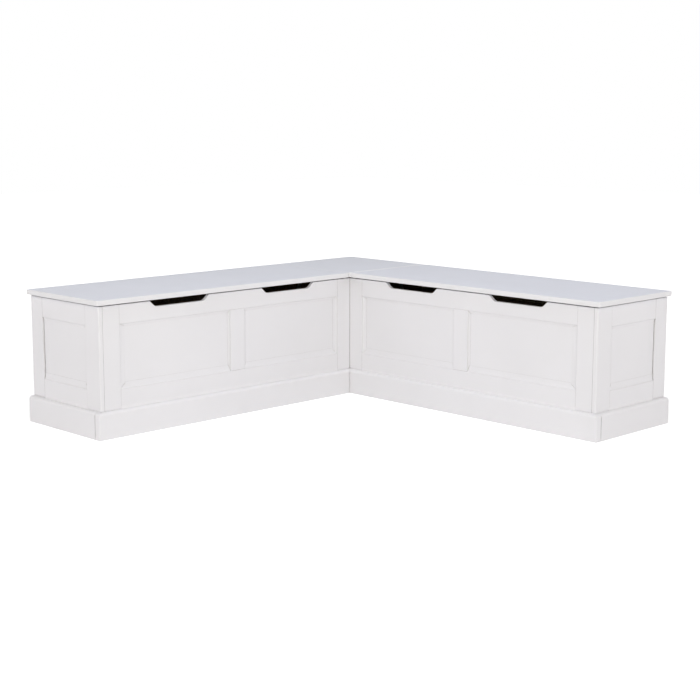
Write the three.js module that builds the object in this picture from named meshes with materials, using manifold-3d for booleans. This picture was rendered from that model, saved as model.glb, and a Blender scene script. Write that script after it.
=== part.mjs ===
// Corner storage bench: two panelled chests at a right angle, joined by a square corner seat.
// Each chest has a frame-and-panel front and outer end, a hinged lid and a slotted lid stay.
// Millimetres, Z up. The origin is on the floor, under the middle of the bench's outer box.
//
// A wing is modelled in its own frame: X runs from the inner corner to the outer end, Y from the
// front face to the back, and Z up. The right wing stands as modelled, and the left is its mirror image.

import * as THREE from 'three';
import { mergeVertices } from 'three/addons/utils/BufferGeometryUtils.js';
import Module from 'manifold-3d';

const wasm = await Module();
wasm.setup();

// Whole bench
const seatHeight = 457;
const wingLength = 1130; // inner corner to the outer face of the end frame
const chestDepth = 396;
const wingGap = 1; // between the two chests at the inner corner
const seatSeam = 3; // between a lid and the corner seat

// Fits
const fitGap = 0.3; // joints out of sight
const jointGap = 0.5; // joints that show as a fine line
const copeGap = 0.15; // between a moulded edge and the end shaped to fit over it
const cutOverrun = 5; // how far a cut runs past what it cuts

// Lids and corner seat
const lidThickness = 18;
const lidOverhang = 18;
const lidGap = 5; // frame top to lid underside, filled by the hinge and the bumpers
const lidEdgeRadius = 3;
const lidCornerRadius = 5;

// Frame members and their moulded edge
const frontThickness = 20;
const endThickness = 15;
const mouldingStep = 0.6;
const mouldingDepth = 5;
const mouldingLip = 0.4;
const grooveDepth = 10;
const panelThickness = 4;
const panelPlay = 0.1; // between a panel's face and the front of its groove
const panelFloat = 1.5; // play of a panel at the bottom of its groove

// Front frame
const frontOuterStile = 65;
const frontInnerStile = 64;
const frontTopRail = 63;
const mullionWidth = 64;
const mullionShift = 6; // from the middle of the opening towards the inner corner
const bottomRailTop = 155; // floor to the face's upper edge, in both frames
const bottomRailUnderside = 30;
const stileMoulding = 20;
const mullionMoulding = 10;
const topRailMoulding = 10;
const bottomRailMoulding = 22;

// Outer end frame
const endFrontStile = 76;
const endBackStile = 68;
const endTopRail = 67;
const endStileMoulding = 10; // front stile only, because the back one has a plain edge
const endCornerRadius = 5;
const endPanelSlot = 1.2; // open joint between the end panel and the back stile

// Finger cut-outs
const cutoutSpacing = 488;
const cutoutTopWidth = 250;
const cutoutBottomWidth = 206;
const cutoutDepth = 20;
const cutoutCornerRadius = 24;
const cutoutLand = 12; // thickness left square behind the face, before the inner edge flares out

// Skirting
const skirtingHeight = 90;
const skirtingThickness = 20;
const skirtingTopRadius = 11;
const skirtingEndRadius = 4;
const skirtingReturn = 5; // how far the front board turns the outer corner, past the chest's front
const skirtingJoint = 1.5;

// Carcass boards
const innerEndThickness = 16;
const backThickness = 12;
const hingeRailDepth = 22;
const hingeRailHeight = 60;
const bottomThickness = 12;
const bottomHeight = 60; // floor to the underside of the bottom board
const bottomTongue = 4; // how far the bottom board enters its neighbours

// Corner section
const cornerPostSize = 40;
const cleatSize = 25;
const cleatFrontInset = 30;
const cleatBackInset = 60;

// Continuous hinge
const knuckleCount = 13;
const knuckleClearance = 0.4;
const hingeWall = 1.1;
const hingeRunning = 0.1; // radial play of the pin
const leafWidth = 28;
const leafThickness = 1.2;
const hingeEndInset = 40;

// Lid stay
const lidOpenAngle = THREE.MathUtils.degToRad(85);
const stayRadius = 150; // pin of the lid hinge to the arm's pivot, and to the stud
const stayPivotDrop = 20; // pivot below the height of the hinge pin
const stayStudAngle = THREE.MathUtils.degToRad(35); // stud below the height of the hinge pin
const armWidth = 18;
const armThickness = 2;
const armEnd = 6; // metal past the end of the slot
const plateThickness = 2;
const studRadius = 4;
const studHeadRadius = 7;
const studHeadThickness = 2;
const studPlateWidth = 16;
const studPlateHeight = 44;
const rivetRadius = 2.5;
const rivetHeadRadius = 5;
const rivetHeadThickness = 1;
const bracketLength = 44;
const bracketWidth = 22;

// Bumpers
const bumperRadius = 6;
const bumperTopRadius = 5;

// Facets
const mouldingSteps = 5;
const cornerSteps = 4;
const roundSteps = 6;
const circleSides = 20;
const knuckleSides = 12;

// Levels and planes that the pieces share
const lidUnderside = seatHeight - lidThickness;
const chestTop = lidUnderside - lidGap;
const chestInner = wingGap / 2;
const frontOuter = wingLength - endThickness - jointGap;
const innerEndFace = chestInner + innerEndThickness;
const endInnerFace = wingLength - endThickness;
const backFace = chestDepth - backThickness;
const panelFace = mouldingDepth + mouldingLip;
const grooveWidth = panelPlay + panelThickness + fitGap;
const hingeAxis = new THREE.Vector2(chestDepth - lidGap / 2, chestTop + lidGap / 2);

const paint = { color: 0xe7e6e8, roughness: 0.45, metalness: 0 };
const board = { color: 0xa98c6c, roughness: 0.8, metalness: 0 };
const steel = { color: 0xb4b6b9, roughness: 0.35, metalness: 1 };
const rubber = { color: 0x2b2b2c, roughness: 0.9, metalness: 0 };

// Solids

// A closed geometry as a solid that can be joined and cut.
function solidOf(geometry) {
  geometry.deleteAttribute('normal');
  geometry.deleteAttribute('uv');
  const welded = mergeVertices(geometry);
  const corners = welded.index.array;
  const triangles = [];
  for (let i = 0; i < corners.length; i += 3) {
    const [a, b, c] = corners.slice(i, i + 3);
    if (a !== b && b !== c && c !== a) {
      triangles.push(a, b, c);
    }
  }
  const vertProperties = new Float32Array(welded.attributes.position.array);
  const triVerts = new Uint32Array(triangles);
  return new wasm.Manifold(new wasm.Mesh({ numProp: 3, vertProperties, triVerts }));
}

// The geometry of a finished solid.
function geometryOf(solid) {
  const { vertProperties, triVerts } = solid.getMesh();
  const geometry = new THREE.BufferGeometry();
  geometry.setAttribute('position', new THREE.BufferAttribute(vertProperties, 3));
  geometry.setIndex(new THREE.BufferAttribute(triVerts, 1));
  return geometry;
}

// A rectangular board between two values on each axis.
function block([x0, x1], [y0, y1], [z0, z1]) {
  const geometry = new THREE.BoxGeometry(x1 - x0, y1 - y0, z1 - z0);
  geometry.translate((x0 + x1) / 2, (y0 + y1) / 2, (z0 + z1) / 2);
  return solidOf(geometry);
}

const xAxis = new THREE.Vector3(1, 0, 0);
const yAxis = new THREE.Vector3(0, 1, 0);
const zAxis = new THREE.Vector3(0, 0, 1);
const turnTo = {
  x: new THREE.Matrix4().makeBasis(yAxis, zAxis, xAxis),
  y: new THREE.Matrix4().makeBasis(xAxis, zAxis, yAxis.clone().negate()),
  z: new THREE.Matrix4(),
};

// An outline carried along an axis. Its points are (y, z) along x, (x, z) along y and (x, y) along z.
function prism(axis, outline, [low, high], holes = []) {
  const shape = new THREE.Shape(outline.map((point) => new THREE.Vector2(...point)));
  for (const hole of holes) {
    shape.holes.push(new THREE.Path(hole.map((point) => new THREE.Vector2(...point))));
  }
  const geometry = new THREE.ExtrudeGeometry(shape, { depth: high - low, bevelEnabled: false });
  geometry.applyMatrix4(turnTo[axis]);
  const start = axis === 'y' ? high : low;
  geometry.translate(axis === 'x' ? start : 0, axis === 'y' ? start : 0, axis === 'z' ? start : 0);
  return solidOf(geometry);
}

// Points of an arc, both ends included.
function arc([centreX, centreY], radius, from, to, steps) {
  const points = [];
  for (let i = 0; i <= steps; i += 1) {
    const angle = from + ((to - from) * i) / steps;
    points.push([centreX + radius * Math.cos(angle), centreY + radius * Math.sin(angle)]);
  }
  return points;
}

// Points of a whole circle.
function circle(centre, radius, sides) {
  return arc(centre, radius, 0, 2 * Math.PI * (1 - 1 / sides), sides - 1);
}

// A straight slot's outline, or a bar with round ends, from one centre to the other.
function stadium(from, to, radius) {
  const heading = Math.atan2(to[1] - from[1], to[0] - from[0]);
  const quarter = Math.PI / 2;
  return [
    ...arc(to, radius, heading - quarter, heading + quarter, roundSteps),
    ...arc(from, radius, heading + quarter, heading + 3 * quarter, roundSteps),
  ];
}

// A seat board with softly rounded edges and corners.
function seatBoard([x0, x1], [y0, y1]) {
  const inset = lidCornerRadius;
  const radius = lidCornerRadius - lidEdgeRadius;
  const quarter = Math.PI / 2;
  const corners = [
    [x1 - inset, y1 - inset],
    [x0 + inset, y1 - inset],
    [x0 + inset, y0 + inset],
    [x1 - inset, y0 + inset],
  ];
  const rounded = (corner, i) => arc(corner, radius, i * quarter, (i + 1) * quarter, cornerSteps);
  const outline = corners.flatMap(rounded);
  const shape = new THREE.Shape(outline.map((point) => new THREE.Vector2(...point)));
  const geometry = new THREE.ExtrudeGeometry(shape, {
    depth: lidThickness - 2 * lidEdgeRadius,
    bevelSize: lidEdgeRadius,
    bevelThickness: lidEdgeRadius,
    bevelSegments: cornerSteps,
  });
  geometry.translate(0, 0, lidUnderside + lidEdgeRadius);
  return solidOf(geometry);
}

// Frame and panel work
// A frame is made facing -Y: X runs along its face, Y is depth behind the face, and Z is up.

// The moulded and grooved edge of a member whose face ends at the joint line: a small step, a hollow
// that flattens towards the panel, and the nose beside the groove.
// A swollen edge is the same edge made larger all over, and cuts the ends that are fitted over it.
function mouldedEdge(joint, width, swell) {
  const close = Math.min(swell, copeGap);
  const start = joint + close;
  const nose = start + width;
  const grooveFloor = nose - grooveDepth;
  const points = [[joint + swell, -swell]];
  for (let i = 0; i <= mouldingSteps; i += 1) {
    const angle = (Math.PI / 2) * (i / mouldingSteps);
    const across = width * (1 - Math.cos(angle));
    const depth = mouldingStep + (mouldingDepth - mouldingStep) * Math.sin(angle);
    points.push([start + across, depth - close]);
  }
  points.push([nose, panelFace + close]);
  points.push([grooveFloor, panelFace + close]);
  points.push([grooveFloor, panelFace + grooveWidth - close]);
  points.push([nose, panelFace + grooveWidth - close]);
  return points;
}

// Section of a member with one moulded edge, or a plain one where the moulding has no width.
// Its outer front corner can be rounded.
function sideSection({ faceWidth, moulding, cornerRadius = 0 }, thickness, swell) {
  const plain = moulding === 0;
  const edge = plain ? [[faceWidth + swell, -swell]] : mouldedEdge(faceWidth, moulding, swell);
  const nose = edge.at(-1)[0];
  const corner = cornerRadius > 0 && swell === 0
    ? arc([cornerRadius, cornerRadius], cornerRadius, Math.PI, 1.5 * Math.PI, roundSteps)
    : [[-swell, -swell]];
  return [[-swell, thickness + swell], ...corner, ...edge, [nose, thickness + swell]];
}

// Section of a member with a moulded edge on both sides, about its middle line.
function middleSection(faceWidth, moulding, thickness) {
  const edge = mouldedEdge(faceWidth / 2, moulding, 0);
  const nose = edge.at(-1)[0];
  const right = [...edge, [nose, thickness]];
  const left = right.map(([across, depth]) => [-across, depth]).reverse();
  return [...right, ...left];
}

// All members and panels of one frame, as solids by name.
function panelFrame(frame) {
  const { left, right, thickness, leftStile, rightStile, topRail, mullions, slot, boardSpan } = frame;
  const leftJoint = left + leftStile.faceWidth;
  const rightJoint = right - rightStile.faceWidth;
  const height = [0, chestTop];
  const cutHeight = [-cutOverrun, chestTop + cutOverrun];
  const fromLeft = ([across, depth]) => [left + across, depth];
  const fromRight = ([across, depth]) => [right - across, depth];
  const fromBottom = ([across, depth]) => [depth, bottomRailUnderside + across];
  const fromTop = ([across, depth]) => [depth, chestTop - across];
  const bottomRail = { faceWidth: bottomRailTop - bottomRailUnderside, moulding: bottomRailMoulding };
  const topRailUnderside = chestTop - topRail.faceWidth;

  const leftCope = prism('z', sideSection(leftStile, thickness, jointGap).map(fromLeft), cutHeight);
  const rightCope = prism('z', sideSection(rightStile, thickness, jointGap).map(fromRight), cutHeight);
  const railBetween = (rail, place) => {
    const blank = prism('x', sideSection(rail, thickness, 0).map(place), [leftJoint, rightJoint]);
    return blank.subtract(leftCope).subtract(rightCope);
  };
  const pieces = {
    left_stile: prism('z', sideSection(leftStile, thickness, 0).map(fromLeft), height),
    right_stile: prism('z', sideSection(rightStile, thickness, 0).map(fromRight), height),
    top_rail: railBetween(topRail, fromTop),
    bottom_rail: railBetween(bottomRail, fromBottom),
  };

  const cutLength = [left - cutOverrun, right + cutOverrun];
  const topCope = prism('x', sideSection(topRail, thickness, jointGap).map(fromTop), cutLength);
  const bottomCope = prism('x', sideSection(bottomRail, thickness, jointGap).map(fromBottom), cutLength);
  const section = middleSection(mullionWidth, mullionMoulding, thickness);
  mullions.forEach((middle, i) => {
    const outline = section.map(([across, depth]) => [middle + across, depth]);
    const blank = prism('z', outline, [bottomRailTop, topRailUnderside]);
    pieces[`mullion_${i}`] = blank.subtract(topCope).subtract(bottomCope);
  });

  const groove = block(
    [boardSpan[0] - fitGap, boardSpan[1] + fitGap],
    [thickness - bottomTongue - fitGap, thickness + cutOverrun],
    [bottomHeight - fitGap, bottomHeight + bottomThickness + fitGap],
  );
  for (const [name, piece] of Object.entries(pieces)) {
    pieces[name] = piece.subtract(groove);
  }

  // A panel reaches into the groove of each moulded edge, and stops short of a plain one.
  const inset = (moulding) => (moulding === 0 ? slot : moulding - grooveDepth + panelFloat);
  const starts = [leftJoint + inset(leftStile.moulding)];
  const stops = [];
  for (const middle of mullions) {
    stops.push(middle - mullionWidth / 2 - inset(mullionMoulding));
    starts.push(middle + mullionWidth / 2 + inset(mullionMoulding));
  }
  stops.push(rightJoint - inset(rightStile.moulding));
  starts.forEach((start, i) => {
    pieces[`panel_${i}`] = block(
      [start, stops[i]],
      [panelFace + panelPlay, panelFace + panelPlay + panelThickness],
      [bottomRailTop + inset(bottomRailMoulding), topRailUnderside - inset(topRail.moulding)],
    );
  });
  return pieces;
}

// A finger cut-out in the upper edge of the top rail, with rounded lower corners and a flared inner edge.
function fingerCutout(middle) {
  const floor = chestTop - cutoutDepth;
  const topHalf = cutoutTopWidth / 2;
  const bottomHalf = cutoutBottomWidth / 2;
  const slope = (topHalf - bottomHalf) / cutoutDepth;
  const overrunHalf = topHalf + slope * cutOverrun;
  const lean = Math.atan2(cutoutDepth, topHalf - bottomHalf);
  const tangent = cutoutCornerRadius * Math.tan(lean / 2);
  const side = (sign) => arc(
    [sign * (bottomHalf - tangent), floor + cutoutCornerRadius],
    cutoutCornerRadius,
    -Math.PI / 2,
    -Math.PI / 2 + sign * lean,
    cornerSteps,
  );
  const overrunTop = chestTop + cutOverrun;
  const outline = [...side(-1).reverse(), ...side(1), [overrunHalf, overrunTop], [-overrunHalf, overrunTop]];
  const placed = outline.map(([across, z]) => [middle + across, z]);
  const flare = frontThickness - cutoutLand;
  const shape = new THREE.Shape(placed.map((point) => new THREE.Vector2(...point)));
  const flared = new THREE.ExtrudeGeometry(shape, {
    depth: cutOverrun,
    bevelSize: flare,
    bevelThickness: flare,
    bevelSegments: 1,
  });
  flared.applyMatrix4(turnTo.y);
  flared.translate(0, frontThickness + cutOverrun, 0);
  return prism('y', placed, [-cutOverrun, frontThickness + cutOverrun]).add(solidOf(flared));
}

function frontFrame() {
  const leftJoint = chestInner + frontInnerStile;
  const rightJoint = frontOuter - frontOuterStile;
  const pieces = panelFrame({
    left: chestInner,
    right: frontOuter,
    thickness: frontThickness,
    leftStile: { faceWidth: frontInnerStile, moulding: stileMoulding },
    rightStile: { faceWidth: frontOuterStile, moulding: stileMoulding },
    topRail: { faceWidth: frontTopRail, moulding: topRailMoulding },
    mullions: [(leftJoint + rightJoint) / 2 - mullionShift],
    slot: 0,
    boardSpan: [innerEndFace - bottomTongue, endInnerFace + bottomTongue],
  });
  const middle = (chestInner + frontOuter) / 2;
  const rail = pieces.top_rail
    .subtract(fingerCutout(middle - cutoutSpacing / 2))
    .subtract(fingerCutout(middle + cutoutSpacing / 2));
  return {
    front_inner_stile: pieces.left_stile,
    front_outer_stile: pieces.right_stile,
    front_mullion: pieces.mullion_0,
    front_top_rail: rail,
    front_bottom_rail: pieces.bottom_rail,
    front_inner_panel: pieces.panel_0,
    front_outer_panel: pieces.panel_1,
  };
}

// The end frame is turned to face +X by its group.
function endFrame() {
  const pieces = panelFrame({
    left: 0,
    right: chestDepth,
    thickness: endThickness,
    leftStile: { faceWidth: endFrontStile, moulding: endStileMoulding, cornerRadius: endCornerRadius },
    rightStile: { faceWidth: endBackStile, moulding: 0 },
    topRail: { faceWidth: endTopRail, moulding: topRailMoulding },
    mullions: [],
    slot: endPanelSlot,
    boardSpan: [frontThickness - bottomTongue, backFace + bottomTongue],
  });
  return {
    end_front_stile: pieces.left_stile,
    end_back_stile: pieces.right_stile,
    end_top_rail: pieces.top_rail,
    end_bottom_rail: pieces.bottom_rail,
    end_panel: pieces.panel_0,
  };
}

// Section of the skirting: x is how far it stands off the chest, y is height.
function skirtingSection(place) {
  const round = arc(
    [skirtingThickness - skirtingTopRadius, skirtingHeight - skirtingTopRadius],
    skirtingTopRadius,
    0,
    Math.PI / 2,
    roundSteps,
  );
  return [[0, 0], [skirtingThickness, 0], ...round, [0, skirtingHeight]].map(place);
}

const endSkirtingSection = skirtingSection(([out, z]) => [wingLength + out, z]);

// The front board is mitred at the inner corner. It turns the outer corner, which is eased.
function frontSkirting() {
  const outer = wingLength + skirtingThickness;
  const run = prism('x', skirtingSection(([out, z]) => [-out, z]), [-cutOverrun, outer]);
  const turn = prism('y', endSkirtingSection, [-skirtingThickness, skirtingReturn]);
  const cutHeight = [-cutOverrun, skirtingHeight + cutOverrun];
  const pastEnd = block([wingLength, outer + cutOverrun], [-skirtingThickness - cutOverrun, 0], cutHeight);
  const pastFront = block([wingLength, outer + cutOverrun], [0, skirtingReturn], cutHeight);
  const moulded = run.subtract(pastEnd).add(run.intersect(turn)).add(turn.intersect(pastFront));
  const eased = arc(
    [outer - skirtingEndRadius, skirtingEndRadius - skirtingThickness],
    skirtingEndRadius,
    -Math.PI / 2,
    0,
    roundSteps,
  );
  const mitre = [chestInner + skirtingThickness, -skirtingThickness];
  const plan = [[chestInner, 0], mitre, ...eased, [outer, skirtingReturn], [chestInner, skirtingReturn]];
  return moulded.intersect(prism('z', plan, cutHeight));
}

function endSkirting() {
  return prism('y', endSkirtingSection, [skirtingReturn + skirtingJoint, chestDepth]);
}

function carcassBoards() {
  const bottomZ = [bottomHeight, bottomHeight + bottomThickness];
  const spanX = [innerEndFace - bottomTongue, endInnerFace + bottomTongue];
  const spanY = [frontThickness - bottomTongue, backFace + bottomTongue];
  const swell = ([low, high]) => [low - fitGap, high + fitGap];
  const groove = block(swell(spanX), swell(spanY), swell(bottomZ));
  const betweenEnds = [innerEndFace + fitGap, endInnerFace - fitGap];
  const railBack = backFace - fitGap;
  const innerEnd = block([chestInner, innerEndFace], [frontThickness + fitGap, chestDepth], [0, chestTop]);
  const back = block(betweenEnds, [backFace, chestDepth], [0, chestTop]);
  return {
    inner_end_board: innerEnd.subtract(groove),
    back_board: back.subtract(groove),
    hinge_rail: block(
      betweenEnds,
      [railBack - hingeRailDepth, railBack],
      [chestTop - hingeRailHeight, chestTop],
    ),
    bottom_board: block(spanX, spanY, bottomZ),
  };
}

// Continuous hinge: two leaves whose knuckles take turns along one pin.
function hingePieces() {
  const [axisY, axisZ] = hingeAxis.toArray();
  const start = innerEndFace + hingeEndInset;
  const end = endInnerFace - hingeEndInset;
  const pitch = (end - start) / knuckleCount;
  const knuckleRadius = lidGap / 2 - knuckleClearance;
  const boreRadius = knuckleRadius - hingeWall;
  const barrel = prism(
    'x',
    circle([axisY, axisZ], knuckleRadius, knuckleSides),
    [start, end],
    [circle([axisY, axisZ], boreRadius, knuckleSides)],
  );
  const plateEnd = axisY - leafWidth;
  const framePlate = block([start, end], [plateEnd, axisY], [chestTop, chestTop + leafThickness]);
  const lidPlate = block([start, end], [plateEnd, axisY], [lidUnderside - leafThickness, lidUnderside]);
  const cuts = { frame: [], lid: [] };
  for (let i = 0; i < knuckleCount; i += 1) {
    const from = i === 0 ? start - cutOverrun : start + i * pitch - knuckleClearance / 2;
    const to = i === knuckleCount - 1 ? end + cutOverrun : start + (i + 1) * pitch + knuckleClearance / 2;
    const notch = block(
      [from, to],
      [axisY - lidGap / 2, chestDepth + cutOverrun],
      [chestTop - cutOverrun, lidUnderside + cutOverrun],
    );
    cuts[i % 2 === 0 ? 'lid' : 'frame'].push(notch);
  }
  const cutAll = (leaf, notches) => notches.reduce((rest, notch) => rest.subtract(notch), leaf);
  return {
    hinge_frame_leaf: cutAll(barrel.add(framePlate), cuts.frame),
    hinge_lid_leaf: cutAll(barrel.add(lidPlate), cuts.lid),
    hinge_pin: prism('x', circle([axisY, axisZ], boreRadius - hingeRunning, knuckleSides), [start, end]),
  };
}

// Lid stay. Pivot and stud lie on one circle about the hinge pin, so the arm turns by half as much
// as the lid, and its slot always lies over the stud.
function stayPieces() {
  const pivotAngle = Math.asin(stayPivotDrop / stayRadius);
  const onCircle = (below) => [
    hingeAxis.x - stayRadius * Math.cos(below),
    hingeAxis.y - stayRadius * Math.sin(below),
  ];
  const pivot = onCircle(pivotAngle);
  const stud = onCircle(stayStudAngle);
  const chord = (angle) => 2 * stayRadius * Math.sin(angle / 2);
  const nearest = chord(stayStudAngle - pivotAngle);
  const farthest = chord(stayStudAngle - pivotAngle + lidOpenAngle);
  const along = new THREE.Vector2(stud[0] - pivot[0], stud[1] - pivot[1]).normalize();
  const onArm = (distance) => [pivot[0] + along.x * distance, pivot[1] + along.y * distance];

  const plate = [innerEndFace, innerEndFace + plateThickness];
  const armLeft = plate[1] + fitGap + rivetHeadThickness + fitGap;
  const arm = [armLeft, armLeft + armThickness];
  const outside = [arm[1] + fitGap, arm[1] + fitGap + plateThickness];
  const slotHalf = studRadius + fitGap;
  const slot = stadium(onArm(nearest), onArm(farthest), slotHalf);
  const armOutline = stadium(pivot, onArm(farthest + slotHalf + armEnd - armWidth / 2), armWidth / 2);
  const armHole = circle(pivot, rivetRadius + fitGap, circleSides);

  const studPlate = stadium(
    [stud[0], stud[1] - (studPlateHeight - studPlateWidth) / 2],
    [stud[0], stud[1] + (studPlateHeight - studPlateWidth) / 2],
    studPlateWidth / 2,
  );
  const studHead = [outside[0], outside[0] + studHeadThickness];
  const earTop = lidUnderside - plateThickness / 2;
  const ear = [
    [pivot[0] + bracketLength / 2, earTop],
    [pivot[0] - bracketLength / 2, earTop],
    ...arc(pivot, armWidth / 2, Math.PI, 2 * Math.PI, roundSteps),
  ];
  const bracketPlate = block(
    [outside[0], outside[0] + bracketWidth],
    [pivot[0] - bracketLength / 2, pivot[0] + bracketLength / 2],
    [lidUnderside - plateThickness, lidUnderside],
  );
  const rivetHead = [armLeft - fitGap - rivetHeadThickness, armLeft - fitGap];
  return {
    stay_stud: prism('x', studPlate, plate)
      .add(prism('x', circle(stud, studRadius, circleSides), [plate[0], studHead[1]]))
      .add(prism('x', circle(stud, studHeadRadius, circleSides), studHead)),
    stay_arm: prism('x', armOutline, arm, [slot, armHole]),
    stay_bracket: bracketPlate
      .add(prism('x', ear, outside))
      .add(prism('x', circle(pivot, rivetRadius, circleSides), [rivetHead[0], outside[1]]))
      .add(prism('x', circle(pivot, rivetHeadRadius, circleSides), rivetHead)),
  };
}

// A round rubber bumper on top of the front frame.
function bumper(x) {
  const profile = [[0, 0], [bumperRadius, 0], [bumperTopRadius, lidGap], [0, lidGap]];
  const geometry = new THREE.LatheGeometry(profile.map((point) => new THREE.Vector2(...point)), circleSides);
  geometry.rotateX(Math.PI / 2);
  geometry.translate(x, frontThickness / 2, chestTop);
  return solidOf(geometry);
}

// Pieces of the corner section that come in mirrored pairs, in the wing's frame.
function cornerPair() {
  const cleatFace = chestInner - fitGap;
  return {
    corner_back_board: block(
      [cornerPostSize + fitGap - chestDepth, cleatFace],
      [backFace, chestDepth],
      [0, lidUnderside],
    ),
    corner_cleat: block(
      [cleatFace - cleatSize, cleatFace],
      [cleatFrontInset, chestDepth - cleatBackInset],
      [lidUnderside - cleatSize, lidUnderside],
    ),
  };
}

// Scene graph

function mirrored(geometry) {
  const copy = geometry.clone();
  copy.scale(1, -1, 1);
  const corners = copy.index.array;
  for (let i = 0; i < corners.length; i += 3) {
    [corners[i + 1], corners[i + 2]] = [corners[i + 2], corners[i + 1]];
  }
  return copy;
}

function addPieces(group, prefix, hand, solids, look) {
  for (const [name, solid] of Object.entries(solids)) {
    const geometry = geometryOf(solid);
    const material = new THREE.MeshStandardMaterial({ ...look, flatShading: true });
    const mesh = new THREE.Mesh(hand > 0 ? geometry : mirrored(geometry), material);
    mesh.name = prefix + name;
    group.add(mesh);
  }
}

const lidSpan = [lidOverhang + seatSeam, wingLength + lidOverhang];
const lid = { lid: seatBoard(lidSpan, [-lidOverhang, chestDepth]) };
const skirting = { front_skirting: frontSkirting(), end_skirting: endSkirting() };
const bumpers = {
  inner_bumper: bumper(chestInner + frontInnerStile / 2),
  outer_bumper: bumper(frontOuter - frontOuterStile / 2),
};
const frontPieces = frontFrame();
const endPieces = endFrame();
const boards = carcassBoards();
const metalwork = { ...hingePieces(), ...stayPieces() };
const cornerPieces = cornerPair();

// One wing. The left one has mirrored pieces and turns the other way.
function wing(prefix, hand) {
  const group = new THREE.Group();
  addPieces(group, prefix, hand, frontPieces, paint);
  addPieces(group, prefix, hand, { ...skirting, ...lid }, paint);
  addPieces(group, prefix, hand, { ...boards, ...cornerPieces }, board);
  addPieces(group, prefix, hand, metalwork, steel);
  addPieces(group, prefix, hand, bumpers, rubber);
  const end = new THREE.Group();
  addPieces(end, prefix, hand, endPieces, paint);
  end.position.x = wingLength;
  end.rotation.z = (hand * Math.PI) / 2;
  group.add(end);
  return group;
}

const rightWing = wing('right_', 1);
const leftWing = wing('left_', -1);
leftWing.rotation.z = -Math.PI / 2;

const corner = new THREE.Group();
const cornerSeat = seatBoard([-chestDepth, lidOverhang], [-lidOverhang, chestDepth]);
addPieces(corner, '', 1, { corner_seat: cornerSeat }, paint);
const post = block(
  [-chestDepth, cornerPostSize - chestDepth],
  [chestDepth - cornerPostSize, chestDepth],
  [0, lidUnderside],
);
addPieces(corner, '', 1, { corner_post: post }, board);

const bench = new THREE.Group();
bench.add(rightWing, leftWing, corner);
const reach = wingLength + Math.max(skirtingThickness, lidOverhang);
const middle = (reach - chestDepth) / 2;
bench.position.set(-middle, middle, 0);

const model = new THREE.Group();
model.add(bench);
export default model;
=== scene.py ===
"""Looks of the corner storage bench: paint, bare board, metal and rubber on its CAD pieces,
the screws that hold its metalwork, and a plain white studio. Metres, +Z up."""

import math

import bmesh
import bpy
from mathutils import Matrix, Vector


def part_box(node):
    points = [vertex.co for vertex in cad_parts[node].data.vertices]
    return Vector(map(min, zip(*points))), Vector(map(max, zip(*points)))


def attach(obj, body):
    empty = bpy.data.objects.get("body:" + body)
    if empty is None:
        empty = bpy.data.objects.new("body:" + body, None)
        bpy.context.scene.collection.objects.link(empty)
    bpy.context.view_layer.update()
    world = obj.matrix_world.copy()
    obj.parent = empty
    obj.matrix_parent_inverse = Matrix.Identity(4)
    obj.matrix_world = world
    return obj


# Camera: place, turn and tilt in degrees, lens and sensor in millimetres
CAMERA_PLACE = (3.3847, -3.3307, 1.0664)
CAMERA_YAW = 45.404
CAMERA_DOWN = 9.189
CAMERA_ROLL = 0.084
CAMERA_LENS = 72.90
CAMERA_SENSOR = 36.0
CAMERA_SHIFT = -0.01944

# Lamps: name, place, target, width, height, power and colour
LAMPS = [
    ("left_softbox", (-1.6, -3.6, 1.6), (0.1, -0.3, 0.25), 1.6, 1.6, 18, (0.89, 0.89, 1.00)),
    ("right_softbox", (3.6, 1.6, 1.6), (-0.3, 0.1, 0.25), 1.6, 1.6, 18, (0.89, 0.89, 1.00)),
    ("front_softbox", (5.2, -5.2, 2.9), (-0.1, 0.1, 0.25), 3.6, 2.2, 218, (1.00, 0.97, 0.88)),
    ("top_softbox", (0.3, -0.3, 3.2), (-0.1, 0.1, 0.2), 2.4, 2.4, 34, (0.82, 0.87, 1.00)),
]
HORIZON = (0.91, 0.89, 0.86)
ZENITH = (0.0, 0.0, 0.0)

# Floor. Its glow makes it white to the camera, and fades out where the bench shades it.
FLOOR_HALF = 12.0
FLOOR_COLOUR = (0.900, 0.900, 0.900)
FLOOR_PATTERN = (40.0, 4.0, 0.5)
FLOOR_TONES = ((0.3, 0.99), (0.7, 1.01))
GLOW_REACH = 0.45
GLOW_OPENNESS = (0.04, 0.20)
GLOW_DISTANCE = (1.0, 3.5)
GLOW_STRENGTH = (0.55, 1.0)

# Colours
PAINT = (0.800, 0.790, 0.806)
# Seat tops: one white paint, tinted cool as painted skylight; the left copy is a little darker as painted
# shade
RIGHT_SEAT_TOP_LIT_PAINT = (0.800, 0.808, 0.860)
LEFT_SEAT_TOP_SHADED_PAINT = (0.788, 0.796, 0.843)
SEAT_SIDE_PAINT = (0.806, 0.800, 0.808)
# Brown of bare wood in the joints, also laid as painted shade in closed-in hollows
SEAM_BROWN_AND_SHADE = (0.070, 0.052, 0.045)
WORN_PAINT = (0.560, 0.525, 0.500)
# Painted highlight: lighter paint along the joint of skirting and bottom rail, which lightens the shade
# there
SKIRTING_JOINT_HIGHLIGHT = (0.830, 0.820, 0.832)
# Painted highlight: lighter paint on the corner seat's edge beside the right lid
EDGE_HIGHLIGHT_PAINT = (0.950, 0.940, 0.950)
BOARD_DARK = (0.130, 0.080, 0.045)
BOARD_LIGHT = (0.330, 0.225, 0.140)
STEEL = (0.600, 0.605, 0.610)
STEEL_DARK = (0.430, 0.435, 0.440)
RUBBER = (0.030, 0.030, 0.031)

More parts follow.
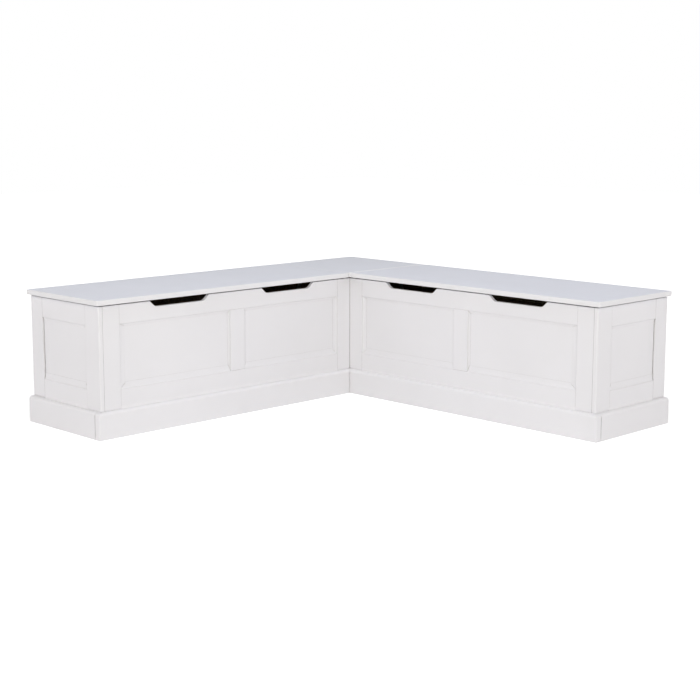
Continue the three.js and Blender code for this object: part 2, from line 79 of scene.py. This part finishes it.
# Paint. A pattern is the scale, detail and roughness of a noise, and a relief a depth and a strength.
PAINT_PATTERN = (3.5, 3.0, 0.5)
PAINT_TONES = ((0.3, 0.985), (0.7, 1.012))
GRAIN_STRETCH = {"x": (9, 130, 130), "y": (130, 9, 130), "z": (130, 130, 9)}
GRAIN_PATTERN = (1.0, 5.0, 0.6)
FRAME_RELIEF = (0.00022, 0.5)
SEAT_RELIEF = (0.00005, 0.5)
SKIN_PATTERN = (620.0, 2.0, 0.5)
SKIN_RELIEF = (0.00005, 0.35)
SHEEN_PATTERN = (24.0, 4.0, 0.5)
FRAME_ROUGHNESS = (0.43, 0.52)
SEAT_ROUGHNESS = (0.50, 0.60)
SEAT_SPECULAR = 0.35

# Worn edges of the frames: their radius, how far the surface turns there, and how patchy they are
FRAME_EDGE = 0.0008
WORN_TURN = (0.985, 0.85)
WORN_PATTERN = (45.0, 4.0, 0.5)
WORN_PATCHES = (0.35, 0.65)
WORN_SHARE = (0.35, 1.0)

# Seams darkened where they are closed in: brown of bare wood in the joints and painted shade in the
# hollows. How far they look about, and how open a point is at full darkening and at none
SEAM = (0.008, (0.35, 0.55))
# The joint beside the left end skirting and the slot beside each end back stile reach further, as painted
# shade darker than their gaps give
JOINT_SEAM = (0.012, (0.45, 0.70))
SLOT_SEAM = (0.014, (0.38, 0.58))

# Height where skirting meets bottom rail, and how far from it and from the floor seams turn brown and
# shaded; near that height the paint is also lightened as a painted highlight
CLEAN_HEIGHT = 0.0905
JOINT_HIGHLIGHT_BAND = (0.004, 0.012)
FOOT_BAND = (0.004, 0.016)

# Painted skylight: seat tops keep their cool paint and turn to the side paint by the rise of their
# normal. Painted highlight: the lighter edge of the corner seat beside the right lid
SKYLIT_TOP_RISE = (0.97, 0.80)
EDGE_HIGHLIGHT_REACH = 0.016
EDGE_HIGHLIGHT_TURN = (0.06, 0.30)

# Mouldings that face a wing's outer end: its axis, its sign and the axis across the wing
OUTER_END = {"x": ("X", 1, "Y"), "y": ("Y", -1, "X")}
OUTWARD_TURN = 0.2
STEEPNESS = 0.3

# Bare board
CHIP_STRETCH = (1, 1, 0.55)
CHIP_SCALE = 330.0
CHIP_STOPS = ((0.15, BOARD_DARK), (0.85, BOARD_LIGHT))
CHIP_RELIEF = (0.0003, 0.4)
FIBRE_PATTERN = (900.0, 4.0, 0.5)
FIBRE_SHARE = (0.0, 0.5)
FIBRE_SHADE = 0.8
FIBRE_RELIEF = (0.0003, 0.5)
STAIN_PATTERN = (5.0, 3.0, 0.5)
STAIN_SHARE = (0.0, 0.35)
BOARD_ROUGHNESS = (0.72, 0.90)

# Steel
BRUSH_STRETCH = {"x": (30, 2600, 2600), "y": (2600, 30, 2600)}
BRUSH_PATTERN = (1.0, 6.0, 0.7)
BRUSH_RELIEF = (0.00004, 0.6)
BLOOM_PATTERN = (60.0, 3.0, 0.5)
BLOOM_SHARE = (0.0, 0.8)
STEEL_ROUGHNESS = (0.26, 0.42)

# Rubber
RUBBER_PATTERN = (80.0, 2.0, 0.5)
RUBBER_TONES = ((0.3, 0.8), (0.7, 1.3))
RUBBER_SKIN_PATTERN = (1500.0, 2.0, 0.5)
RUBBER_RELIEF = (0.00006, 0.5)
RUBBER_ROUGHNESS = (0.7, 0.9)

# Sockets of a colour mix, which shares its names with other kinds of mix
MIX_SHARE = 0
MIX_FIRST = 6
MIX_SECOND = 7
MIX_RESULT = 2

# Shading of the CAD pieces
WELD = 1e-5
SMOOTH_ANGLE = math.radians(35)

# Metalwork of the CAD model
LEAF_THICKNESS = 0.0012
KNUCKLE_RADIUS = 0.0021
KNUCKLE_COUNT = 13
PLATE_THICKNESS = 0.002

# Screws. The recess of each one is turned from the last one's by a step in radians.
LEAF_SCREW_RADIUS = 0.0036
PLATE_SCREW_RADIUS = 0.0030
BOARD_SCREW_RADIUS = 0.0042
SCREW_PROUD = 0.0006
SCREW_SIDES = 24
SCREW_TURN_STEP = 2.4
PLATE_SCREW_INSET = 0.008
BRACKET_SCREW_INSET = 0.009
BACK_SCREW_COUNT = 7
BACK_SCREW_INSET = 0.040
CLEAT_SCREW_COUNT = 3
CLEAT_SCREW_INSET = 0.030

# Rings of a screw head: radius and height, each as a share of the whole head's
RIM = (1.0, 0.0)
SHOULDER = (0.90, 0.45)
CROWN = (0.66, 1.0)

# Crosses of its recess: arm and half width as shares of the radius, and height as above
RECESS_MOUTH = (0.54, 0.13, 1.0)
RECESS_FLOOR = (0.42, 0.09, 0.1)

UP = Vector((0, 0, 1))
SIDES = ("right_", "left_")


class Graph:
    """The node graph of a material or a world, and short ways to add and join its nodes."""

    def __init__(self, owner, output):
        owner.use_nodes = True
        self.owner = owner
        self.tree = owner.node_tree
        self.tree.nodes.clear()
        self.output = self.add(output)

    def add(self, kind, inputs=None, **settings):
        """A node with its settings, and its inputs set to values or joined to other nodes."""
        node = self.tree.nodes.new(kind)
        for name, value in settings.items():
            setattr(node, name, value)
        for name, value in (inputs or {}).items():
            if isinstance(value, bpy.types.NodeSocket):
                self.tree.links.new(value, node.inputs[name])
            else:
                node.inputs[name].default_value = value
        return node

    def finish(self, shader):
        """Joins a shader to the output."""
        self.tree.links.new(shader.outputs[0], self.output.inputs["Surface"])
        return self.owner

    def place(self, scale=(1, 1, 1)):
        """Coordinates fixed to the piece, in metres times a scale for each axis."""
        coordinates = self.add("ShaderNodeTexCoord").outputs["Object"]
        return self.add("ShaderNodeMapping", {"Vector": coordinates, "Scale": scale}).outputs["Vector"]

    def axes_of(self, vector):
        """The three parts of a vector, by the names X, Y and Z."""
        return self.add("ShaderNodeSeparateXYZ", {"Vector": vector}).outputs

    def noise(self, pattern, place=None):
        """Values of a soft noise with the scale, detail and roughness of a pattern."""
        scale, detail, roughness = pattern
        inputs = {
            "Vector": place or self.place(),
            "Scale": scale,
            "Detail": detail,
            "Roughness": roughness,
        }
        return self.add("ShaderNodeTexNoise", inputs).outputs["Fac"]

    def remap(self, value, source, target):
        """Carries a value from one range to another, and stops it at the ends."""
        inputs = {
            "Value": value,
            "From Min": source[0],
            "From Max": source[1],
            "To Min": target[0],
            "To Max": target[1],
        }
        return self.add("ShaderNodeMapRange", inputs).outputs["Result"]

    def ramp(self, value, stops):
        """Turns a value into a colour by the stops given."""
        node = self.add("ShaderNodeValToRGB", {"Fac": value})
        elements = node.color_ramp.elements
        while len(elements) < len(stops):
            elements.new(1)
        for element, (position, colour) in zip(elements, stops):
            element.position = position
            element.color = opaque(colour)
        return node.outputs["Color"]

    def tones(self, colour, steps, pattern):
        """A colour that drifts between shades of itself. Each step has a noise value and a factor."""
        stops = [(value, shade(colour, factor)) for value, factor in steps]
        return self.ramp(self.noise(pattern), stops)

    def mix(self, share, first, second):
        """The first colour at share 0 and the second at share 1."""
        inputs = {MIX_SHARE: share, MIX_FIRST: coloured(first), MIX_SECOND: coloured(second)}
        return self.add("ShaderNodeMix", inputs, data_type="RGBA").outputs[MIX_RESULT]

    def math(self, operation, first, second=0.0):
        """The result of an operation on one or two values."""
        return self.add("ShaderNodeMath", {0: first, 1: second}, operation=operation).outputs[0]

    def openness(self, reach):
        """How open a point is to what lies around it, from 0 to 1."""
        node = self.add("ShaderNodeAmbientOcclusion", {"Distance": reach}, samples=8)
        return node.outputs["AO"]

    def rounded(self, radius):
        """A normal that turns over the edges as if they were rounded."""
        return self.add("ShaderNodeBevel", {"Radius": radius}, samples=4).outputs["Normal"]

    def bump(self, height, relief, normal=None):
        """A normal roughened by a height from 0 to 1, with the depth and strength of a relief."""
        depth, strength = relief
        inputs = {"Height": height, "Distance": depth, "Strength": strength}
        if normal:
            inputs["Normal"] = normal
        return self.add("ShaderNodeBump", inputs).outputs["Normal"]

    def backdrop_rays(self):
        """1 for the rays that show the white backdrop: from the camera, mirrored or let through."""
        path = self.add("ShaderNodeLightPath").outputs
        mirrored = self.math("MAXIMUM", path["Is Glossy Ray"], path["Is Transmission Ray"])
        return self.math("MAXIMUM", path["Is Camera Ray"], mirrored)


def opaque(colour):
    """A colour with full alpha."""
    return (*colour, 1)


def coloured(value):
    """A socket as it is, or a colour with full alpha."""
    return value if isinstance(value, bpy.types.NodeSocket) else opaque(value)


def shade(colour, factor):
    """A colour made lighter or darker."""
    return tuple(min(channel * factor, 1.0) for channel in colour)


def material_graph(name):
    """The graph of a new material."""
    return Graph(bpy.data.materials.new(name), "ShaderNodeOutputMaterial")


def finish_surface(graph, colour, roughness, normal, metallic=0.0, specular=0.5):
    """Ends a material's graph with one shader."""
    inputs = {
        "Base Color": colour,
        "Roughness": roughness,
        "Normal": normal,
        "Metallic": metallic,
        "Specular IOR Level": specular,
    }
    return graph.finish(graph.add("ShaderNodeBsdfPrincipled", inputs))


def worn_edges(graph, tone, edge):
    """Paint rubbed thin in patches where the rounded normal leaves the flat one."""
    face = graph.add("ShaderNodeNewGeometry").outputs["Normal"]
    turn = graph.add("ShaderNodeVectorMath", {0: edge, 1: face}, operation="DOT_PRODUCT").outputs["Value"]
    patchy = graph.remap(graph.noise(WORN_PATTERN), WORN_PATCHES, WORN_SHARE)
    worn = graph.math("MULTIPLY", graph.remap(turn, WORN_TURN, (0, 1)), patchy)
    return graph.mix(worn, tone, WORN_PAINT)


def brown_and_shaded_seams(graph, tone, seam, low):
    """Paint darkened in its seams by how closed in they are: brown of bare wood in the joints and painted
    shade in the hollows.

    A low piece has no brown or painted shade where the skirting meets the bottom rail or at the floor,
    and along the first of these it carries a painted highlight that lightens the shade of that joint.
    """
    reach, open_range = seam
    # Painted shade and bare-wood brown: darker where the point is closed in
    brown_and_shade = graph.remap(graph.openness(reach), open_range, (1, 0))
    if low:
        height = graph.axes_of(graph.place())["Z"]
        away = graph.math("ABSOLUTE", graph.math("SUBTRACT", height, CLEAN_HEIGHT))
        brown_and_shade = graph.math("MULTIPLY", brown_and_shade, graph.remap(away, JOINT_HIGHLIGHT_BAND, (0, 1)))
        brown_and_shade = graph.math("MULTIPLY", brown_and_shade, graph.remap(height, FOOT_BAND, (0, 1)))
        # Painted highlight: lighter paint in a band along the joint of skirting and bottom rail
        tone = graph.mix(graph.remap(away, JOINT_HIGHLIGHT_BAND, (1, 0)), tone, SKIRTING_JOINT_HIGHLIGHT)
    return graph.mix(brown_and_shade, tone, SEAM_BROWN_AND_SHADE)


def squarer_mouldings(graph, normal, wing):
    """A normal turned further to the wing's outer end, where it leans to that end already."""
    along, sign, across = OUTER_END[wing]
    axes = graph.axes_of(normal)
    squash = graph.remap(axes[along], (0, sign * OUTWARD_TURN), (1, STEEPNESS))
    inputs = {"X": axes["X"], "Y": axes["Y"], "Z": axes["Z"]}
    inputs[across] = graph.math("MULTIPLY", axes[across], squash)
    turned = graph.add("ShaderNodeCombineXYZ", inputs).outputs["Vector"]
    return graph.add("ShaderNodeVectorMath", {0: turned}, operation="NORMALIZE").outputs["Vector"]


def grained(graph, axis, relief, normal=None):
    """A normal roughened by wood grain along one axis and by the fine skin of the paint."""
    grain = graph.noise(GRAIN_PATTERN, graph.place(GRAIN_STRETCH[axis]))
    normal = graph.bump(grain, relief, normal)
    return graph.bump(graph.noise(SKIN_PATTERN), SKIN_RELIEF, normal)


def painted_frame(name, axis, seam=SEAM, low=False, wing=None):
    """Satin paint over wood whose grain runs along one axis, worn at the edges, and brown with painted
    shade in the seams.

    A piece with a wing has mouldings that face the outer end of that wing, and they are shaded
    nearer to square. The frames never move, so their normals need no turning back.
    """
    graph = material_graph(name)
    edge = graph.rounded(FRAME_EDGE)
    tone = graph.tones(PAINT, PAINT_TONES, PAINT_PATTERN)
    tone = worn_edges(graph, tone, edge)
    tone = brown_and_shaded_seams(graph, tone, seam, low)
    if wing:
        edge = squarer_mouldings(graph, edge, wing)
    normal = grained(graph, axis, FRAME_RELIEF, edge)
    roughness = graph.remap(graph.noise(SHEEN_PATTERN), (0, 1), FRAME_ROUGHNESS)
    return finish_surface(graph, tone, roughness, normal)


def painted_seat(name, axis, paint, edge_highlight=False):
    """Smoother paint of the lids and the corner seat. Their tops are tinted cool as painted skylight, and
    their sides keep a more neutral paint.

    A piece with an edge highlight is lighter, as a painted highlight, along the edge that faces the right
    lid.
    """
    graph = material_graph(name)
    tone = graph.tones(paint, PAINT_TONES, PAINT_PATTERN)
    # Painted skylight: the cool top paint turns to the neutral side paint as the normal leaves the
    # vertical
    facing = graph.add("ShaderNodeTexCoord").outputs["Normal"]
    rise = graph.math("ABSOLUTE", graph.axes_of(facing)["Z"])
    tone = graph.mix(graph.remap(rise, SKYLIT_TOP_RISE, (0, 1)), tone, SEAT_SIDE_PAINT)
    # Painted highlight: lighter paint where the rounded normal turns towards +X
    if edge_highlight:
        turn = graph.axes_of(graph.rounded(EDGE_HIGHLIGHT_REACH))["X"]
        tone = graph.mix(graph.remap(turn, EDGE_HIGHLIGHT_TURN, (0, 1)), tone, EDGE_HIGHLIGHT_PAINT)
    normal = grained(graph, axis, SEAT_RELIEF)
    roughness = graph.remap(graph.noise(SHEEN_PATTERN), (0, 1), SEAT_ROUGHNESS)
    return finish_surface(graph, tone, roughness, normal, specular=SEAT_SPECULAR)


def bare_board():
    """Pressed board of fine brown chips."""
    graph = material_graph("bare_board")
    chip_inputs = {"Vector": graph.place(CHIP_STRETCH), "Scale": CHIP_SCALE}
    chips = graph.add("ShaderNodeTexVoronoi", chip_inputs)
    fibres = graph.noise(FIBRE_PATTERN)
    tone = graph.ramp(chips.outputs["Color"], CHIP_STOPS)
    tone = graph.mix(graph.remap(fibres, (0, 1), FIBRE_SHARE), tone, shade(BOARD_LIGHT, FIBRE_SHADE))
    stain = graph.remap(graph.noise(STAIN_PATTERN), (0, 1), STAIN_SHARE)
    tone = graph.mix(stain, tone, BOARD_DARK)
    normal = graph.bump(chips.outputs["Distance"], CHIP_RELIEF)
    normal = graph.bump(fibres, FIBRE_RELIEF, normal)
    return finish_surface(graph, tone, graph.remap(fibres, (0, 1), BOARD_ROUGHNESS), normal)


def brushed_steel(name, axis):
    """Zinc-plated steel with fine lines along one axis."""
    graph = material_graph(name)
    lines = graph.noise(BRUSH_PATTERN, graph.place(BRUSH_STRETCH[axis]))
    bloom = graph.remap(graph.noise(BLOOM_PATTERN), (0, 1), BLOOM_SHARE)
    tone = graph.mix(bloom, STEEL, STEEL_DARK)
    roughness = graph.remap(lines, (0, 1), STEEL_ROUGHNESS)
    return finish_surface(graph, tone, roughness, graph.bump(lines, BRUSH_RELIEF), metallic=1.0)


def soft_rubber():
    """Dull rubber with a fine moulded skin."""
    graph = material_graph("soft_rubber")
    skin = graph.noise(RUBBER_SKIN_PATTERN)
    tone = graph.tones(RUBBER, RUBBER_TONES, RUBBER_PATTERN)
    roughness = graph.remap(skin, (0, 1), RUBBER_ROUGHNESS)
    return finish_surface(graph, tone, roughness, graph.bump(skin, RUBBER_RELIEF))


def make_looks():
    """Every material of the bench, by name."""
    return {
        "frame_x": painted_frame("paint_along_x", "x"),
        "frame_y": painted_frame("paint_along_y", "y"),
        "frame_z": painted_frame("paint_along_z", "z"),
        "mould_x": painted_frame("moulded_paint_right", "z", wing="x"),
        "mould_y": painted_frame("moulded_paint_left", "z", wing="y"),
        "low_x": painted_frame("low_paint_along_x", "x", low=True),
        "low_y": painted_frame("low_paint_along_y", "y", low=True),
        # The left end skirting's joint and the end back stiles' slots carry extra painted shade
        "joint": painted_frame("paint_beside_joint", "x", JOINT_SEAM, low=True),
        "slot": painted_frame("paint_beside_slot", "z", SLOT_SEAM),
        # The seat tops carry painted skylight, and the left copy also painted shade
        "seat_x": painted_seat("seat_paint_along_x", "x", RIGHT_SEAT_TOP_LIT_PAINT),
        "seat_y": painted_seat("seat_paint_along_y", "y", LEFT_SEAT_TOP_SHADED_PAINT),
        "seat_corner": painted_seat("corner_seat_paint", "y", LEFT_SEAT_TOP_SHADED_PAINT, edge_highlight=True),
        "steel_x": brushed_steel("steel_along_x", "x"),
        "steel_y": brushed_steel("steel_along_y", "y"),
        "board": bare_board(),
        "rubber": soft_rubber(),
    }


def has_any(name, *words):
    """Whether a name holds one of the words."""
    return any(word in name for word in words)


def look_of(name):
    """The name of a CAD piece's material."""
    right = name.startswith("right_")
    along = "x" if right else "y"
    across = "y" if right else "x"
    if "bumper" in name:
        return "rubber"
    if has_any(name, "board", "hinge_rail", "post", "cleat"):
        return "board"
    if has_any(name, "hinge", "stay"):
        return "steel_" + along
    if name == "corner_seat":
        return "seat_corner"
    if name.endswith("lid"):
        return "seat_" + along
    if name.endswith("end_back_stile"):
        return "slot"
    if name == "left_end_skirting":
        return "joint"
    if has_any(name, "front_inner_stile", "mullion"):
        return "mould_" + along
    if "stile" in name:
        return "frame_z"
    kind = "low_" if has_any(name, "skirting", "bottom_rail") else "frame_"
    return kind + (across if "_end_" in name else along)


def smooth_shading():
    """Geometry nodes that weld the faces of a piece and shade its gentle edges smooth."""
    group = bpy.data.node_groups.new("smooth_shading", "GeometryNodeTree")
    group.interface.new_socket("Geometry", in_out="INPUT", socket_type="NodeSocketGeometry")
    group.interface.new_socket("Geometry", in_out="OUTPUT", socket_type="NodeSocketGeometry")
    nodes = group.nodes
    links = group.links
    start = nodes.new("NodeGroupInput")
    weld = nodes.new("GeometryNodeMergeByDistance")
    weld.inputs["Distance"].default_value = WELD
    faces = nodes.new("GeometryNodeSetShadeSmooth")
    angle = nodes.new("GeometryNodeInputMeshEdgeAngle")
    sharp = nodes.new("FunctionNodeCompare")
    sharp.inputs[1].default_value = SMOOTH_ANGLE
    edges = nodes.new("GeometryNodeSetShadeSmooth")
    edges.domain = "EDGE"
    edges.inputs["Shade Smooth"].default_value = False
    end = nodes.new("NodeGroupOutput")
    links.new(start.outputs[0], weld.inputs["Geometry"])
    links.new(weld.outputs["Geometry"], faces.inputs["Geometry"])
    links.new(faces.outputs["Geometry"], edges.inputs["Geometry"])
    links.new(angle.outputs["Unsigned Angle"], sharp.inputs[0])
    links.new(sharp.outputs["Result"], edges.inputs["Selection"])
    links.new(edges.outputs["Geometry"], end.inputs[0])
    return group


def dress(node, material, shading):
    """Gives a CAD piece its material and smooth shading."""
    node.data.materials.clear()
    node.data.materials.append(material)
    node.modifiers.new("smooth", "NODES").node_group = shading
    node.modifiers.new("weighted", "WEIGHTED_NORMAL").keep_sharp = True


def ring(mesh, radius, shares):
    """Corners of one of a screw head's rings."""
    share, rise = shares
    turn = 2 * math.pi / SCREW_SIDES
    corners = []
    for i in range(SCREW_SIDES):
        x = share * radius * math.cos(i * turn)
        y = share * radius * math.sin(i * turn)
        corners.append(mesh.verts.new((x, y, rise * SCREW_PROUD)))
    return corners


def cross(mesh, radius, shares):
    """Corners of one of a screw head's crosses."""
    arm, half_width, rise = shares
    quarter = [(arm, -half_width), (arm, half_width), (half_width, half_width)]
    corners = []
    for _ in range(4):
        for x, y in quarter:
            corners.append(mesh.verts.new((x * radius, y * radius, rise * SCREW_PROUD)))
        quarter = [(-y, x) for x, y in quarter]
    return corners


def band(mesh, lower, upper):
    """Faces between two loops of corners."""
    for i, corner in enumerate(lower):
        after = (i + 1) % len(lower)
        mesh.faces.new((corner, lower[after], upper[after], upper[i]))


def loop_edges(mesh, loop):
    """Edges that join the corners of a loop."""
    edges = []
    for pair in zip(loop, loop[1:] + loop[:1]):
        edges.append(mesh.edges.get(pair) or mesh.edges.new(pair))
    return edges


def screw_head(radius):
    """A raised head with a cross recess, which stands on the plane z = 0."""
    mesh = bmesh.new()
    rim = ring(mesh, radius, RIM)
    shoulder = ring(mesh, radius, SHOULDER)
    crown = ring(mesh, radius, CROWN)
    mouth = cross(mesh, radius, RECESS_MOUTH)
    floor = cross(mesh, radius, RECESS_FLOOR)
    mesh.faces.new(rim)
    band(mesh, rim, shoulder)
    band(mesh, shoulder, crown)
    band(mesh, mouth, floor)
    mesh.faces.new(floor)
    top_edges = loop_edges(mesh, crown) + loop_edges(mesh, mouth)
    bmesh.ops.triangle_fill(mesh, use_beauty=True, edges=top_edges)
    bmesh.ops.recalc_face_normals(mesh, faces=mesh.faces)
    return mesh


def screws(name, radius, places, facing, body, material):
    """One piece with a screw head at each place, all facing one way."""
    whole = bmesh.new()
    swing = facing.to_track_quat("Z", "Y").to_matrix().to_4x4()
    for i, place in enumerate(places):
        head = screw_head(radius)
        turn = Matrix.Rotation(i * SCREW_TURN_STEP, 4, "Z")
        head.transform(Matrix.Translation(place) @ swing @ turn)
        part = bpy.data.meshes.new("head")
        head.to_mesh(part)
        head.free()
        whole.from_mesh(part)
        bpy.data.meshes.remove(part)
    mesh = bpy.data.meshes.new(name)
    whole.to_mesh(mesh)
    whole.free()
    mesh.materials.append(material)
    piece = bpy.data.objects.new(name, mesh)
    bpy.context.scene.collection.objects.link(piece)
    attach(piece, body)


def wing_directions(side):
    """Directions along a wing away from the corner, and out through its back."""
    if side == "right_":
        return Vector((1, 0, 0)), Vector((0, 1, 0))
    return Vector((0, -1, 0)), Vector((-1, 0, 0))


def extent(node, direction):
    """Lowest and highest place of a CAD piece along an axis."""
    low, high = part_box(node)
    return sorted((low.dot(direction), high.dot(direction)))


def middle(ends):
    """Half way between two ends."""
    return sum(ends) / 2


def spread(ends, count, inset=0.0):
    """Places between two ends, the first and last an inset away from them."""
    low = ends[0] + inset
    high = ends[1] - inset
    return [low + (high - low) * i / (count - 1) for i in range(count)]


def hinge_screws(side, material):
    """A screw in each leaf of the hinge beside every knuckle."""
    along, out = wing_directions(side)
    run = extent(side + "hinge_frame_leaf", along)
    pitch = (run[1] - run[0]) / KNUCKLE_COUNT
    depth = extent(side + "hinge_frame_leaf", out)
    row = middle((depth[0], depth[1] - 2 * KNUCKLE_RADIUS))
    starts = spread(run, KNUCKLE_COUNT, pitch / 2)
    low = extent(side + "hinge_frame_leaf", UP)[0] + LEAF_THICKNESS
    high = extent(side + "hinge_lid_leaf", UP)[1] - LEAF_THICKNESS
    frame_places = [along * u + out * row + UP * low for u in starts]
    lid_places = [along * u + out * row + UP * high for u in starts]
    screws(side + "frame_leaf_screws", LEAF_SCREW_RADIUS, frame_places, UP, "bench", material)
    screws(side + "lid_leaf_screws", LEAF_SCREW_RADIUS, lid_places, -UP, side + "lid_assembly", material)


def stay_screws(side, material):
    """Two screws in the stud's plate and two in the bracket under the lid."""
    along, out = wing_directions(side)
    face = extent(side + "stay_stud", along)[0] + PLATE_THICKNESS
    row = middle(extent(side + "stay_stud", out))
    heights = spread(extent(side + "stay_stud", UP), 2, PLATE_SCREW_INSET)
    plate_places = [along * face + out * row + UP * z for z in heights]
    screws(side + "stud_plate_screws", PLATE_SCREW_RADIUS, plate_places, along, "bench", material)
    bracket = side + "stay_bracket"
    far = extent(bracket, along)[1] - BRACKET_SCREW_INSET
    low = extent(bracket, UP)[1] - PLATE_THICKNESS
    depths = spread(extent(bracket, out), 2, BRACKET_SCREW_INSET)
    bracket_places = [along * far + out * v + UP * low for v in depths]
    body = side + "lid_assembly"
    screws(side + "bracket_screws", PLATE_SCREW_RADIUS, bracket_places, -UP, body, material)


def back_screws(side, material):
    """Screws through the back board into the hinge rail and the bottom board."""
    along, out = wing_directions(side)
    back = extent(side + "back_board", out)[1]
    runs = spread(extent(side + "back_board", along), BACK_SCREW_COUNT, BACK_SCREW_INSET)
    levels = [middle(extent(side + name, UP)) for name in ("hinge_rail", "bottom_board")]
    places = [along * u + out * back + UP * z for z in levels for u in runs]
    screws(side + "back_board_screws", BOARD_SCREW_RADIUS, places, out, "bench", material)


def cleat_screws(side, material):
    """Screws through the inner end into the cleat that carries the corner seat."""
    along, out = wing_directions(side)
    face = extent(side + "inner_end_board", along)[1]
    depths = spread(extent(side + "corner_cleat", out), CLEAT_SCREW_COUNT, CLEAT_SCREW_INSET)
    level = middle(extent(side + "corner_cleat", UP))
    places = [along * face + out * v + UP * level for v in depths]
    screws(side + "cleat_screws", BOARD_SCREW_RADIUS, places, along, "bench", material)


def floor_material():
    """Pale floor that shows white to the camera and keeps the bench's soft shadow."""
    graph = material_graph("studio_floor")
    tone = graph.tones(FLOOR_COLOUR, FLOOR_TONES, FLOOR_PATTERN)
    matt = graph.add("ShaderNodeBsdfDiffuse", {"Color": tone})
    distance = graph.add("ShaderNodeVectorMath", {0: graph.place()}, operation="LENGTH").outputs["Value"]
    strength = graph.remap(distance, GLOW_DISTANCE, GLOW_STRENGTH)
    lit = graph.remap(graph.openness(GLOW_REACH), GLOW_OPENNESS, (0, 1))
    glow = graph.add("ShaderNodeEmission", {"Strength": graph.math("MULTIPLY", strength, lit)})
    seen = graph.add("ShaderNodeAddShader", {0: matt.outputs[0], 1: glow.outputs[0]})
    choice = {0: graph.backdrop_rays(), 1: matt.outputs[0], 2: seen.outputs[0]}
    return graph.finish(graph.add("ShaderNodeMixShader", choice))


def add_floor():
    """A flat floor far wider than the view."""
    mesh = bpy.data.meshes.new("studio_floor")
    corners = [(-1, -1), (1, -1), (1, 1), (-1, 1)]
    mesh.from_pydata([(FLOOR_HALF * x, FLOOR_HALF * y, 0) for x, y in corners], [], [(0, 1, 2, 3)])
    mesh.materials.append(floor_material())
    floor = bpy.data.objects.new("studio_floor", mesh)
    bpy.context.scene.collection.objects.link(floor)


def add_world():
    """White behind the bench, and a soft light that weakens towards the ceiling."""
    world = bpy.data.worlds.new("studio")
    graph = Graph(world, "ShaderNodeOutputWorld")
    direction = graph.add("ShaderNodeTexCoord").outputs["Generated"]
    sky = graph.ramp(graph.axes_of(direction)["Z"], [(0, HORIZON), (1, ZENITH)])
    light = graph.add("ShaderNodeBackground", {"Color": sky})
    white = graph.add("ShaderNodeBackground", {"Color": (1, 1, 1, 1)})
    choice = {0: graph.backdrop_rays(), 1: light.outputs[0], 2: white.outputs[0]}
    graph.finish(graph.add("ShaderNodeMixShader", choice))
    bpy.context.scene.world = world


def add_lamp(name, place, target, width, height, power, colour):
    """A rectangular lamp that faces a point."""
    data = bpy.data.lights.new(name, "AREA")
    data.shape = "RECTANGLE"
    data.size = width
    data.size_y = height
    data.energy = power
    data.color = colour
    lamp = bpy.data.objects.new(name, data)
    lamp.location = place
    lamp.rotation_euler = (Vector(target) - Vector(place)).to_track_quat("-Z", "Y").to_euler()
    bpy.context.scene.collection.objects.link(lamp)


def add_camera():
    """The camera at the photograph's place."""
    data = bpy.data.cameras.new("camera")
    data.sensor_width = CAMERA_SENSOR
    data.lens = CAMERA_LENS
    data.shift_y = CAMERA_SHIFT
    camera = bpy.data.objects.new("camera", data)
    turn = Matrix.Rotation(math.radians(CAMERA_YAW), 4, "Z")
    tilt = Matrix.Rotation(math.radians(90 - CAMERA_DOWN), 4, "X")
    roll = Matrix.Rotation(math.radians(CAMERA_ROLL), 4, "Z")
    camera.matrix_world = Matrix.Translation(CAMERA_PLACE) @ turn @ tilt @ roll
    bpy.context.scene.collection.objects.link(camera)
    bpy.context.scene.camera = camera


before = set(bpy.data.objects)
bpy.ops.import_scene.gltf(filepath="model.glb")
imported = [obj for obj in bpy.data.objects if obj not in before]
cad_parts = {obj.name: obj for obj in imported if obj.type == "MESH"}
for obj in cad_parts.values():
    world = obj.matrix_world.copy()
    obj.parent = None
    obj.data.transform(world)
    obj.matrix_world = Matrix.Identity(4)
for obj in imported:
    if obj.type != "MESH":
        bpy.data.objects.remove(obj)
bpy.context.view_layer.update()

looks = make_looks()
shading = smooth_shading()
for piece_name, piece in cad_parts.items():
    dress(piece, looks[look_of(piece_name)], shading)
for side in SIDES:
    screw_steel = looks["steel_x" if side == "right_" else "steel_y"]
    hinge_screws(side, screw_steel)
    stay_screws(side, screw_steel)
    back_screws(side, screw_steel)
    cleat_screws(side, screw_steel)

add_floor()
add_world()
for lamp_sizes in LAMPS:
    add_lamp(*lamp_sizes)
add_camera()
bpy.context.scene.view_settings.view_transform = "Standard"
